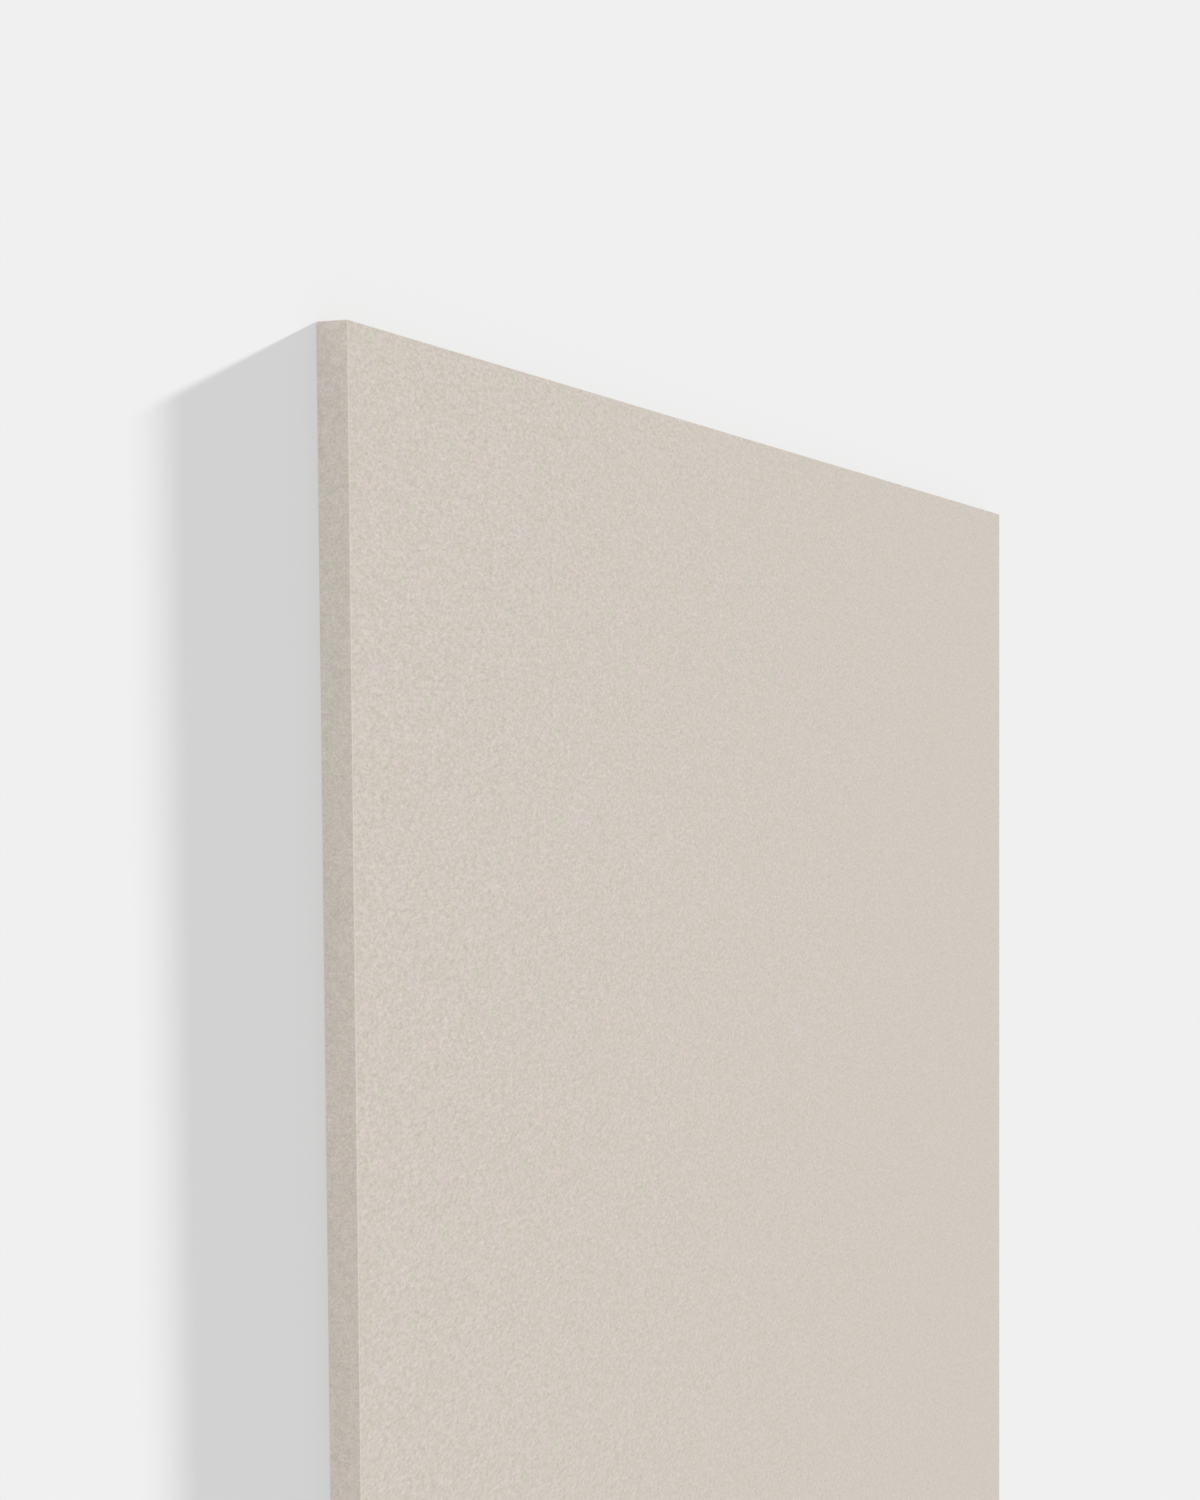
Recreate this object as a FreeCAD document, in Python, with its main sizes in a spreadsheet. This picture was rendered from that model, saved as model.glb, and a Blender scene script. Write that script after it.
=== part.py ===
"""Acrylic laminate sheet: one flat board of stock, 8 ft by 4 ft, alike all through.

The board lies on its back. The origin is the centre of its underside, +X runs across the
width, +Y along the length and +Z up through the thickness to the face. The four upright
corners are rounded first, then the arrises round the face and round the back are eased.
Units are millimetres.
"""

import FreeCAD, Part
import os

import Sketcher

PARTS_FOLDER = "parts"
TABLE_NAME = "Dimensions"
SHEET_NODE = "laminate_sheet"

# Driving dimensions: alias, value, what it measures.
DIMENSIONS = (
    ("sheet_length", 2440.0, "along +Y, as the board is sold (8 ft)"),
    ("sheet_width", 1220.0, "along +X, as the board is sold (4 ft)"),
    ("sheet_thickness", 12.0, "along +Z, from the back to the face"),
    ("corner_radius", 0.4, "rounding of the four upright corners, seen from above"),
    ("arris_radius", 0.3, "easing of the arrises round the face and round the back"),
)

# How a sketch constraint names a line's two ends, and the sketch's own origin point.
LINE_START, LINE_END = 1, 2
SKETCH_ORIGIN = (-1, 1)

# Two heights nearer than this are the same height.
SAME_HEIGHT = 1e-6


def make_dimension_table(doc):
    """One row for each driving dimension: its name, its value under that alias, and a note."""
    table = doc.addObject("Spreadsheet::Sheet", TABLE_NAME)
    for row, (alias, value, note) in enumerate(DIMENSIONS, start=1):
        table.set(f"A{row}", alias)
        table.set(f"B{row}", str(value))
        table.setAlias(f"B{row}", alias)
        table.set(f"C{row}", note)
    doc.recompute()


def dimension(alias):
    """The expression that reads one driving dimension from the table."""
    return f"{TABLE_NAME}.{alias}"


def origin_plane(body, role):
    """One of the body's own origin planes, found by its role, such as XY_Plane."""
    return next(plane for plane in body.Origin.OriginFeatures if plane.Role == role)


def add_outline(body):
    """The board seen from above: a rectangle centred on the origin."""
    sketch = body.newObject("Sketcher::SketchObject", "Outline")
    sketch.AttachmentSupport = [(origin_plane(body, "XY_Plane"), "")]
    sketch.MapMode = "FlatFace"

    # The corners only start the rectangle off round the origin. The constraints size it.
    corners = [FreeCAD.Vector(x, y, 0) for x, y in ((-1, -1), (1, -1), (1, 1), (-1, 1))]
    sides = front, right, back, left = range(4)
    following = {side: (side + 1) % len(sides) for side in sides}
    for side in sides:
        sketch.addGeometry(Part.LineSegment(corners[side], corners[following[side]]))

    for side in sides:
        sketch.addConstraint(Sketcher.Constraint("Coincident", side, LINE_END, following[side], LINE_START))
    for side in (front, back):
        sketch.addConstraint(Sketcher.Constraint("Horizontal", side))
    for side in (right, left):
        sketch.addConstraint(Sketcher.Constraint("Vertical", side))
    opposite_corners = (front, LINE_START, right, LINE_END)
    sketch.addConstraint(Sketcher.Constraint("Symmetric", *opposite_corners, *SKETCH_ORIGIN))

    for name, kind, side in (("width", "DistanceX", front), ("length", "DistanceY", right)):
        size = sketch.addConstraint(Sketcher.Constraint(kind, side, LINE_START, side, LINE_END, 1.0))
        sketch.renameConstraint(size, name)
        sketch.setExpression(f"Constraints.{name}", dimension(f"sheet_{name}"))
    return sketch


def add_board(body, outline):
    """The outline carried up through the thickness."""
    board = body.newObject("PartDesign::Pad", "Board")
    board.Profile = outline
    board.setExpression("Length", dimension("sheet_thickness"))
    return board


def edges_where(feature, wanted):
    """Names of the feature's edges whose heights at their two ends satisfy wanted."""
    heights = [[vertex.Z for vertex in edge.Vertexes] for edge in feature.Shape.Edges]
    return [f"Edge{number}" for number, ends in enumerate(heights, start=1) if wanted(*ends)]


def is_level(start_height, end_height):
    """True for an edge round the face or round the back."""
    return abs(start_height - end_height) < SAME_HEIGHT


def is_upright(start_height, end_height):
    """True for an edge that climbs from the back to the face."""
    return not is_level(start_height, end_height)


def add_rounding(body, base, name, wanted, radius):
    """Rounds those edges of the base feature that satisfy wanted, to one driving radius."""
    rounding = body.newObject("PartDesign::Fillet", name)
    rounding.Base = (base, edges_where(base, wanted))
    rounding.setExpression("Radius", dimension(radius))
    return rounding


def build_laminate_sheet(doc):
    """The board: its outline, its thickness, its rounded corners and its eased arrises."""
    body = doc.addObject("PartDesign::Body", SHEET_NODE)
    body.Label = SHEET_NODE
    board = add_board(body, add_outline(body))
    doc.recompute()
    corners = add_rounding(body, board, "RoundedCorners", is_upright, "corner_radius")
    doc.recompute()
    add_rounding(body, corners, "EasedArrises", is_level, "arris_radius")
    doc.recompute()
    return body


def check_document(doc, parts):
    """Stops if an object failed to compute, or a part isn't one valid closed solid."""
    for item in doc.Objects:
        if "Invalid" in item.State or "Error" in item.State:
            raise RuntimeError(f"{item.Label} failed to compute: {item.State}")
    for part in parts:
        shape = part.Shape
        if shape.isNull() or not shape.isValid() or len(shape.Solids) != 1:
            raise RuntimeError(f"{part.Label} isn't one valid solid")


def export_parts(parts):
    """Writes each part's shape to a STEP file named after its label."""
    os.makedirs(PARTS_FOLDER, exist_ok=True)
    for part in parts:
        part.Shape.exportStep(os.path.join(PARTS_FOLDER, f"{part.Label}.step"))
        print(f"{part.Label}: volume {part.Shape.Volume:.0f} mm3")


def main():
    doc = FreeCAD.newDocument("LaminateSheet")
    make_dimension_table(doc)
    parts = [build_laminate_sheet(doc)]
    check_document(doc, parts)
    export_parts(parts)


main()
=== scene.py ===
"""Looks of the acrylic laminate sheet: a speckled beige board lying on its back on a pale floor.

The board is one closed surface with eased arrises and rounded corners, worked out from the CAD
box. Its face and edges wear the speckled finish, and its back a plainer one. Metres throughout.
"""

import math

import bmesh
import bpy
import numpy as np
from mathutils import Matrix, Vector


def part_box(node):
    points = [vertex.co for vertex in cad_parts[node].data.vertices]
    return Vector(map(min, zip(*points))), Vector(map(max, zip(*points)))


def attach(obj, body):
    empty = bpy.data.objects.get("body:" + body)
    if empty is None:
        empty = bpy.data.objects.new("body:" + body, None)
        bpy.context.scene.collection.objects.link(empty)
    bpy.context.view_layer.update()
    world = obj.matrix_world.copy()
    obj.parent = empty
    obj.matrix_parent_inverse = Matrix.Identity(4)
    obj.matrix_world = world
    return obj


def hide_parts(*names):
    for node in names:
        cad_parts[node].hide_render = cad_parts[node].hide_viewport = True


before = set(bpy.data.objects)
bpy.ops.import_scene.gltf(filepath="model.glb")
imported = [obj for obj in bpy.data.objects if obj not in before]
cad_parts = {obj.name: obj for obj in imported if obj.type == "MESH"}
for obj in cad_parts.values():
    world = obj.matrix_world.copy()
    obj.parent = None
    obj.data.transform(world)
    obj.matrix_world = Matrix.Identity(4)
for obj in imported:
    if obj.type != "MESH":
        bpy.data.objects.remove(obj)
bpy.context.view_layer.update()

SHEET_NODE = "laminate_sheet"

# The roundings of the board's upright corners and of its arrises, as the CAD model has them.
CORNER_RADIUS = 0.0004
ARRIS_RADIUS = 0.0003

# Steps round each quarter circle, and cells of the face's grid each way.
ARC_STEPS = 8
CELLS_ACROSS = 20
CELLS_ALONG = 40

# Two points nearer than this are one point.
SAME_POINT = 1e-6

# Width of the narrow strip that keeps a rounding's shading off the flat beside it.
HOLD = 0.0001

# The board's colour, as linear light, and the two tints that it drifts between.
BEIGE = (0.632, 0.576, 0.512)
PINKISH = (1.03, 0.97, 1.06)
GREENISH = (0.97, 1.03, 0.94)

# Shares of the beige in the darkest speckle, in the lightest, and on an arris, whose lighter line is
# partly wear and partly a painted highlight.
DARKEST = 0.8
LIGHTEST = 1.2
WORN_AND_HIGHLIGHT = 1.15

# How the surface takes the light.
SPECULAR_LEVEL = 0.12
BLUSH_ROUGHNESS = 0.08
WORN_ROUGHNESS = 0.1
RELIEF_STRENGTH = 0.5

# Greys of the stage, as linear light: what shows beyond the board, what shows in its shadow, and
# the floor's own.
BACKDROP_GREY = 0.871
SHADOW_GREY = 0.646
FLOOR_GREY = 0.2

# Level of the overhead lamp, where a level of 1 shows a colour as it is written.
OVERHEAD_LEVEL = 0.13

# The speckle's layers, as name, size and weight, and the size of the patches of each tint.
SPECKLE_LAYERS = (("grain", 0.0009, 1.0), ("clumps", 0.0020, 0.6), ("mottle", 0.0045, 0.2))
BLUSH_SIZE = 0.0045

# How many times longer the speckle and the patches are across the board than along it.
SPECKLE_STRETCH = 2.0

# Size of the relief, and how far an arris's lighter line, partly wear and partly a painted highlight,
# reaches.
RELIEF_SIZE = 0.0008
WEAR_AND_HIGHLIGHT_REACH = 0.00045

# What a noise averages, and how many finer noises each one adds to itself.
NOISE_AVERAGE = 0.5
SPECKLE_DETAIL = 1.0
RELIEF_DETAIL = 2.0

# The camera's place from the face's top left corner, how it is turned in degrees, and its lens
# in millimetres.
CAMERA_OUT = 0.7168
CAMERA_ALONG = 0.1152
CAMERA_UP = 0.3542
CAMERA_DIP = 20.16
CAMERA_HEADING = -2.51
CAMERA_ROLL = 90.46
CAMERA_LENS = 55.45

# How far the floor reaches each way and how far the camera sees, and the hair's gap between the
# floor and the board.
FLOOR_REACH = 40.0
VIEW_REACH = 4 * FLOOR_REACH
FLOOR_GAP = 0.00005


# ---------------------------------------------------------------- the board's surface

def grid_lines(half_size, cells):
    """Where the grid lines lie one way.

    At each end a line runs through the corner arcs' centres. A holding strip lies inside it, and
    between the two strips the lines are evenly spaced.
    """
    reach = half_size - CORNER_RADIUS
    steps = np.linspace(HOLD - reach, reach - HOLD, cells + 1)
    return np.concatenate([[-reach], steps, [reach]])


def outline(xs, ys):
    """The way round the board, anticlockwise from above, as anchors and outward directions.

    A point of the outline is its anchor plus a distance times its direction. Along a side the
    anchor runs over the grid lines and the direction stands still. At a corner the anchor
    stands still and the direction turns through a quarter of a circle.
    """
    # each side's anchors, and the way that it faces in degrees
    sides = (
        (xs, np.full_like(xs, ys[0]), -90),
        (np.full_like(ys, xs[-1]), ys, 0),
        (xs[::-1], np.full_like(xs, ys[-1]), 90),
        (np.full_like(ys, xs[0]), ys[::-1], 180),
    )
    anchors, angles = [], []
    for x, y, facing in sides:
        turn = np.linspace(facing, facing + 90, ARC_STEPS + 1)[1:-1]
        anchors.append(np.stack([x, y], axis=1))
        anchors.append(np.tile([x[-1], y[-1]], (len(turn), 1)))
        angles += [np.full(len(x), float(facing)), turn]
    angles = np.radians(np.concatenate(angles))
    return np.concatenate(anchors), np.stack([np.cos(angles), np.sin(angles)], axis=1)


def section(thickness):
    """The board's edge in section, from back to face, as insets from the side and heights.

    Each arris is a quarter circle: inset = radius x (1 - cos angle), height = its centre's
    height + radius x sin angle. Both ends run in to the centres of the corner arcs, and a
    holding strip runs along the side beside each arris.
    """
    angle = np.radians(np.linspace(0, 90, ARC_STEPS + 1))
    inset = ARRIS_RADIUS * (1 - np.cos(angle))
    rise = ARRIS_RADIUS * np.sin(angle)
    low, high = ARRIS_RADIUS, thickness - ARRIS_RADIUS
    insets = np.concatenate([[CORNER_RADIUS], inset[::-1], [0.0, 0.0], inset, [CORNER_RADIUS]])
    heights = np.concatenate([
        [0.0], low - rise[::-1], [low + HOLD, high - HOLD], high + rise, [thickness]])
    return insets, heights


def quads(numbers):
    """The four corners' numbers of each cell of a grid of point numbers."""
    return np.stack([numbers[:-1, :-1], numbers[:-1, 1:], numbers[1:, 1:], numbers[1:, :-1]],
                    axis=-1).reshape(-1, 4)


def rim(xs, ys, thickness):
    """The section carried round the outline: point = anchor + (corner radius - inset) x direction."""
    anchors, directions = outline(xs, ys)
    insets, heights = section(thickness)
    flat = anchors[None] + (CORNER_RADIUS - insets)[:, None, None] * directions[None]
    level = np.broadcast_to(heights[:, None, None], (*flat.shape[:2], 1))
    points = np.concatenate([flat, level], axis=2)
    numbers = np.arange(points.shape[0] * points.shape[1]).reshape(points.shape[:2])
    closed = np.concatenate([numbers, numbers[:, :1]], axis=1)
    return points.reshape(-1, 3), quads(closed)


def flat_face(xs, ys, height):
    """A level grid of the two sets of grid lines, facing up."""
    x, y = np.meshgrid(xs, ys)
    points = np.stack([x, y, np.full_like(x, height)], axis=-1).reshape(-1, 3)
    return points, quads(np.arange(x.size).reshape(x.shape))


def build_sheet(lowest, highest, face_finish, back_finish):
    """The board: rim, face and back as one closed surface."""
    half_width, half_length, thickness = highest.x, highest.y, highest.z - lowest.z
    xs, ys = grid_lines(half_width, CELLS_ACROSS), grid_lines(half_length, CELLS_ALONG)
    rim_points, rim_cells = rim(xs, ys, thickness)
    face_points, face_cells = flat_face(xs, ys, thickness)
    back_points, back_cells = flat_face(xs, ys, 0.0)

    points = np.concatenate([rim_points, face_points, back_points])
    cells = np.concatenate([
        rim_cells,
        face_cells + len(rim_points),
        back_cells[:, ::-1] + len(rim_points) + len(face_points),
    ])
    mesh = bpy.data.meshes.new("sheet_surface")
    mesh.from_pydata(points.tolist(), [], cells.tolist())
    mesh.materials.append(face_finish)
    mesh.materials.append(back_finish)
    on_back = np.zeros(len(cells), dtype=np.int32)
    on_back[-len(back_cells):] = 1
    mesh.polygons.foreach_set("material_index", on_back)
    mesh.polygons.foreach_set("use_smooth", np.ones(len(cells), dtype=bool))

    shell = bmesh.new()
    shell.from_mesh(mesh)
    bmesh.ops.remove_doubles(shell, verts=shell.verts, dist=SAME_POINT)
    shell.to_mesh(mesh)
    shell.free()

    piece = bpy.data.objects.new("sheet", mesh)
    bpy.context.scene.collection.objects.link(piece)
    return piece


# ---------------------------------------------------------------- node helpers

def add_node(tree, kind, **settings):
    """A new node, with its own properties set."""
    node = tree.nodes.new(kind)
    for name, value in settings.items():
        setattr(node, name, value)
    return node


def calculate(tree, operation, *values):
    """A Math node whose inputs are numbers or other nodes' outputs."""
    node = add_node(tree, "ShaderNodeMath", operation=operation)
    for socket, value in zip(node.inputs, values):
        if isinstance(value, bpy.types.NodeSocket):
            tree.links.new(value, socket)
        else:
            socket.default_value = value
    return node.outputs[0]


def start_group(name, inputs, outputs):
    """An empty shader group with named sockets, and its two end nodes."""
    group = bpy.data.node_groups.new(name, "ShaderNodeTree")
    for label, kind in inputs:
        group.interface.new_socket(name=label, in_out="INPUT", socket_type=kind)
    for label, kind in outputs:
        group.interface.new_socket(name=label, in_out="OUTPUT", socket_type=kind)
    return group, group.nodes.new("NodeGroupInput"), group.nodes.new("NodeGroupOutput")


def place_group(tree, group, position, **values):
    """A group placed in a material, reading Object coordinates, with its own values."""
    node = add_node(tree, "ShaderNodeGroup", node_tree=group)
    tree.links.new(position, node.inputs["Position"])
    for name, value in values.items():
        node.inputs[name.replace("_", " ").title()].default_value = value
    return node


def noise(tree, position, size, detail, label):
    """A noise of 1 / size cells to the metre."""
    node = add_node(tree, "ShaderNodeTexNoise", noise_dimensions="3D", label=label)
    node.inputs["Detail"].default_value = detail
    tree.links.new(position, node.inputs["Vector"])
    tree.links.new(calculate(tree, "DIVIDE", 1.0, size), node.inputs["Scale"])
    return node


# ---------------------------------------------------------------- shared effects

def make_speckle_group():
    """Speckle: noises of several sizes added by weight, and a drift between two tints.

    Lightness = average + contrast x the sum of weight x (noise - average), where average is what
    a noise averages. All the marks are drawn out across the board.
    """
    group, entry, result = start_group(
        "fine_speckle",
        [("Position", "NodeSocketVector"), ("Contrast", "NodeSocketFloat")],
        [("Lightness", "NodeSocketFloat"), ("Blush", "NodeSocketFloat")])
    drawn_out = add_node(group, "ShaderNodeMapping")
    drawn_out.inputs["Scale"].default_value = (1 / SPECKLE_STRETCH, 1.0, 1.0)
    group.links.new(entry.outputs["Position"], drawn_out.inputs["Vector"])
    place = drawn_out.outputs["Vector"]

    total = 0.0
    for name, size, weight in SPECKLE_LAYERS:
        layer = noise(group, place, size, SPECKLE_DETAIL, name)
        level = calculate(group, "SUBTRACT", layer.outputs["Fac"], NOISE_AVERAGE)
        total = calculate(group, "MULTIPLY_ADD", level, weight, total)
    lightness = calculate(group, "MULTIPLY_ADD", total, entry.outputs["Contrast"], NOISE_AVERAGE)
    group.links.new(lightness, result.inputs["Lightness"])
    blush = noise(group, place, BLUSH_SIZE, SPECKLE_DETAIL, "blush")
    group.links.new(blush.outputs["Fac"], result.inputs["Blush"])
    return group


def make_relief_group():
    """Suede relief: the height of a fine pebbled surface, from 0 to 1."""
    group, entry, result = start_group(
        "suede_relief",
        [("Position", "NodeSocketVector"), ("Relief Size", "NodeSocketFloat")],
        [("Height", "NodeSocketFloat")])
    pebble = noise(group, entry.outputs["Position"], entry.outputs["Relief Size"], RELIEF_DETAIL,
                   "pebble")
    group.links.new(pebble.outputs["Fac"], result.inputs["Height"])
    return group


def make_wear_and_highlight_group(half_width, half_length, thickness):
    """Arris wear and painted highlight: 1 on an arris, falling to 0 within Reach of it.

    A point's distances to the nearest side, end and broad face are compared. On an arris two of
    the three are small, so the middle one of the three says how near the arris is.
    """
    group, entry, result = start_group(
        "arris_wear_and_highlight",
        [("Position", "NodeSocketVector"), ("Reach", "NodeSocketFloat")],
        [("Mask", "NodeSocketFloat")])
    split = add_node(group, "ShaderNodeSeparateXYZ")
    group.links.new(entry.outputs["Position"], split.inputs[0])
    x, y, z = split.outputs
    side = calculate(group, "SUBTRACT", half_width, calculate(group, "ABSOLUTE", x))
    end = calculate(group, "SUBTRACT", half_length, calculate(group, "ABSOLUTE", y))
    broad = calculate(group, "MINIMUM", z, calculate(group, "SUBTRACT", thickness, z))
    nearer = calculate(group, "MINIMUM", side, end)
    farther = calculate(group, "MAXIMUM", side, end)
    middle = calculate(group, "MAXIMUM", nearer, calculate(group, "MINIMUM", farther, broad))
    fade = add_node(group, "ShaderNodeMapRange", interpolation_type="SMOOTHSTEP")
    group.links.new(middle, fade.inputs["Value"])
    group.links.new(entry.outputs["Reach"], fade.inputs["From Max"])
    fade.inputs["To Min"].default_value = 1.0
    fade.inputs["To Max"].default_value = 0.0
    group.links.new(fade.outputs["Result"], result.inputs["Mask"])
    return group


# ---------------------------------------------------------------- finishes

def tone(share, tint=(1.0, 1.0, 1.0)):
    """A share of the board's beige, tinted."""
    return (*(channel * share * t for channel, t in zip(BEIGE, tint)), 1.0)


def mix_colours(tree, factor, first, second):
    """A colour Mix node whose factor is an output and whose colours are outputs or values."""
    node = add_node(tree, "ShaderNodeMix", data_type="RGBA")
    tree.links.new(factor, node.inputs["Factor"])
    for name, colour in (("A", first), ("B", second)):
        socket = next(s for s in node.inputs if s.name == name and s.type == "RGBA")
        if isinstance(colour, bpy.types.NodeSocket):
            tree.links.new(colour, socket)
        else:
            socket.default_value = colour
    return next(s for s in node.outputs if s.type == "RGBA")


def make_finish(name, groups, contrast, roughness, relief):
    """The speckled acrylic: its colour, its roughness and its suede relief, and a lighter line on the
    arris that stands for wear and a painted highlight.
    """
    # the third group marks the arris, where the colour is painted lighter for wear and a highlight
    speckle, suede, wear = groups
    material = bpy.data.materials.new(name)
    material.use_nodes = True
    tree = material.node_tree
    shader = tree.nodes["Principled BSDF"]
    position = add_node(tree, "ShaderNodeTexCoord").outputs["Object"]

    spots = place_group(tree, speckle, position, contrast=contrast)
    worn_and_highlit = place_group(tree, wear, position, reach=WEAR_AND_HIGHLIGHT_REACH)
    pebbles = place_group(tree, suede, position, relief_size=RELIEF_SIZE)

    greenish, pinkish = (
        mix_colours(tree, spots.outputs["Lightness"], tone(DARKEST, tint), tone(LIGHTEST, tint))
        for tint in (GREENISH, PINKISH))
    speckled = mix_colours(tree, spots.outputs["Blush"], greenish, pinkish)
    # the arris is painted lighter: partly wear, partly a painted highlight
    coloured = mix_colours(tree, worn_and_highlit.outputs["Mask"], speckled, tone(WORN_AND_HIGHLIGHT))
    tree.links.new(coloured, shader.inputs["Base Color"])

    # the pinkish patches and the worn arrises scatter the light a little more
    patchy = calculate(tree, "MULTIPLY_ADD", spots.outputs["Blush"], BLUSH_ROUGHNESS,
                       roughness - BLUSH_ROUGHNESS * NOISE_AVERAGE)
    rougher = calculate(tree, "MULTIPLY_ADD", worn_and_highlit.outputs["Mask"], WORN_ROUGHNESS, patchy)
    tree.links.new(rougher, shader.inputs["Roughness"])
    shader.inputs["Specular IOR Level"].default_value = SPECULAR_LEVEL

    bump = add_node(tree, "ShaderNodeBump")
    bump.inputs["Strength"].default_value = RELIEF_STRENGTH
    bump.inputs["Distance"].default_value = relief
    tree.links.new(pebbles.outputs["Height"], bump.inputs["Height"])
    tree.links.new(bump.outputs["Normal"], shader.inputs["Normal"])
    return material


# ---------------------------------------------------------------- the stage

def grey(level):
    """A neutral colour, as linear light."""
    return (level, level, level, 1.0)


def make_floor():
    """A pale level floor a hair below the board, reaching far past the view.

    Its own grey is low, so that the board hardly darkens the floor beside it, and an even glow
    makes up the rest. In the shadow, floor grey x (surround + overhead) + glow = shadow grey.
    """
    material = bpy.data.materials.new("pale_floor")
    material.use_nodes = True
    shader = material.node_tree.nodes["Principled BSDF"]
    shader.inputs["Base Color"].default_value = grey(FLOOR_GREY)
    shader.inputs["Roughness"].default_value = 1.0
    shader.inputs["Specular IOR Level"].default_value = 0.0
    shader.inputs["Emission Color"].default_value = grey(1.0)
    glow = SHADOW_GREY - FLOOR_GREY * (BACKDROP_GREY + OVERHEAD_LEVEL)
    shader.inputs["Emission Strength"].default_value = glow
    corners = np.array([(-1, -1, 0), (1, -1, 0), (1, 1, 0), (-1, 1, 0)]) * FLOOR_REACH
    corners[:, 2] = -FLOOR_GAP
    mesh = bpy.data.meshes.new("floor_surface")
    mesh.from_pydata(corners.tolist(), [], [(0, 1, 2, 3)])
    mesh.materials.append(material)
    floor = bpy.data.objects.new("floor", mesh)
    bpy.context.scene.collection.objects.link(floor)
    return floor


def make_sun(name, azimuth, elevation, spread, level):
    """A distant lamp. Its level is the share of full light that it gives a horizontal surface."""
    lamp = bpy.data.lights.new(name, "SUN")
    lamp.angle = math.radians(spread)
    lamp.energy = level * math.pi / math.sin(math.radians(elevation))
    sun = bpy.data.objects.new(name, lamp)
    turn, climb = math.radians(azimuth), math.radians(elevation)
    towards = Vector((math.cos(climb) * math.cos(turn), math.cos(climb) * math.sin(turn),
                      math.sin(climb)))
    sun.rotation_euler = towards.to_track_quat("Z", "Y").to_euler()
    bpy.context.scene.collection.objects.link(sun)
    return sun


def light_stage(floor):
    """An even pale surround, a soft lamp overhead, and a low lamp that lights the floor alone.

    The low lamp draws the board's shadow: floor grey x its level = backdrop grey - shadow grey.
    """
    world = bpy.data.worlds.new("surround")
    world.use_nodes = True
    background = world.node_tree.nodes["Background"]
    background.inputs["Color"].default_value = grey(BACKDROP_GREY)
    bpy.context.scene.world = world
    make_sun("overhead", azimuth=160, elevation=61, spread=40, level=OVERHEAD_LEVEL)

    low = make_sun("low_lamp", azimuth=20, elevation=6.15, spread=2,
                   level=(BACKDROP_GREY - SHADOW_GREY) / FLOOR_GREY)
    floor_alone = bpy.data.collections.new("floor_alone")
    floor_alone.objects.link(floor)
    low.light_linking.receiver_collection = floor_alone


def place_camera(lowest, highest):
    """The camera, looking down across the board from beyond its left edge, turned on its side."""
    data = bpy.data.cameras.new("camera")
    data.lens = CAMERA_LENS
    data.clip_end = VIEW_REACH
    camera = bpy.data.objects.new("camera", data)
    dip, heading = math.radians(-CAMERA_DIP), math.radians(CAMERA_HEADING)
    look = Vector((math.cos(dip) * math.cos(heading), math.cos(dip) * math.sin(heading),
                   math.sin(dip)))
    upright = look.to_track_quat("-Z", "Y").to_matrix().to_4x4()
    corner = Vector((lowest.x, highest.y, highest.z))
    place = corner + Vector((-CAMERA_OUT, -CAMERA_ALONG, CAMERA_UP))
    roll = Matrix.Rotation(math.radians(CAMERA_ROLL), 4, "Z")
    camera.matrix_world = Matrix.Translation(place) @ upright @ roll
    bpy.context.scene.collection.objects.link(camera)
    bpy.context.scene.camera = camera


lowest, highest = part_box(SHEET_NODE)
place_camera(lowest, highest)
groups = (make_speckle_group(), make_relief_group(),
          make_wear_and_highlight_group(highest.x, highest.y, highest.z - lowest.z))
face_finish = make_finish("speckled_face", groups, contrast=1.05, roughness=0.6, relief=0.00003)
back_finish = make_finish("plain_back", groups, contrast=0.55, roughness=0.75, relief=0.00005)
sheet = build_sheet(lowest, highest, face_finish, back_finish)
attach(sheet, "root")
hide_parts(SHEET_NODE)
light_stage(make_floor())
bpy.context.scene.view_settings.view_transform = "Standard"
